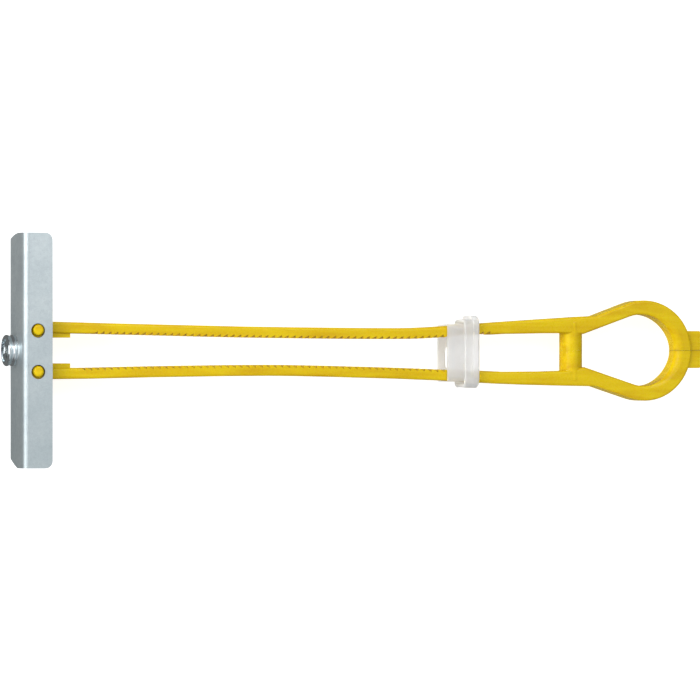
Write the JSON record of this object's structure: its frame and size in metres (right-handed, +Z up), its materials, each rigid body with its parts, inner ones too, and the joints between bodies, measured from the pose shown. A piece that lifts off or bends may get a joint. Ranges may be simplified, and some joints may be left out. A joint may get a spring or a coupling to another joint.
{
  "type": "hollow wall anchor",
  "caption": "Metal channel with a threaded collar, pinned to toothed plastic straps that end in a finger ring, with a sliding cap that locks it against a hollow wall.",
  "frame": {"origin": "on the axis of the channel's threaded hole, at the outer face of the channel's web", "axes": "+X along the straps from the channel to the finger ring, +Y along the channel, +Z up, away from the surface the anchor lies on"},
  "size_m": [0.1487, 0.0476, 0.011],
  "materials": {
    "zinc_steel": "satin",
    "yellow_plastic": "gloss",
    "cap_nylon": "satin"
  },
  "bodies": {
    "channel": {"toggle_channel": "zinc_steel"},
    "strap_upper": {"strap_upper": "yellow_plastic"},
    "strap_lower": {"strap_lower": "yellow_plastic"},
    "cap": {"cap": "cap_nylon"}
  },
  "joints": [
    {"name": "strap_swing", "type": "hinge", "parent": "channel", "child": "strap_upper", "pos_m": [0.00335, 0.0042, 0], "axis": [0, 0, 1], "range_deg": [-15, 15]},
    {"name": "strap_slide", "type": "slide", "parent": "strap_upper", "child": "strap_lower", "axis": [1, 0, 0], "range_m": [-0.0023, 0.0023]},
    {"name": "cap_slide", "type": "slide", "parent": "strap_upper", "child": "cap", "axis": [1, 0, 0], "range_m": [-0.078, 0]}
  ],
  "couplings": [
    {"joint": "strap_slide", "follows": "strap_swing", "m_per_rad": -0.00832}
  ]
}
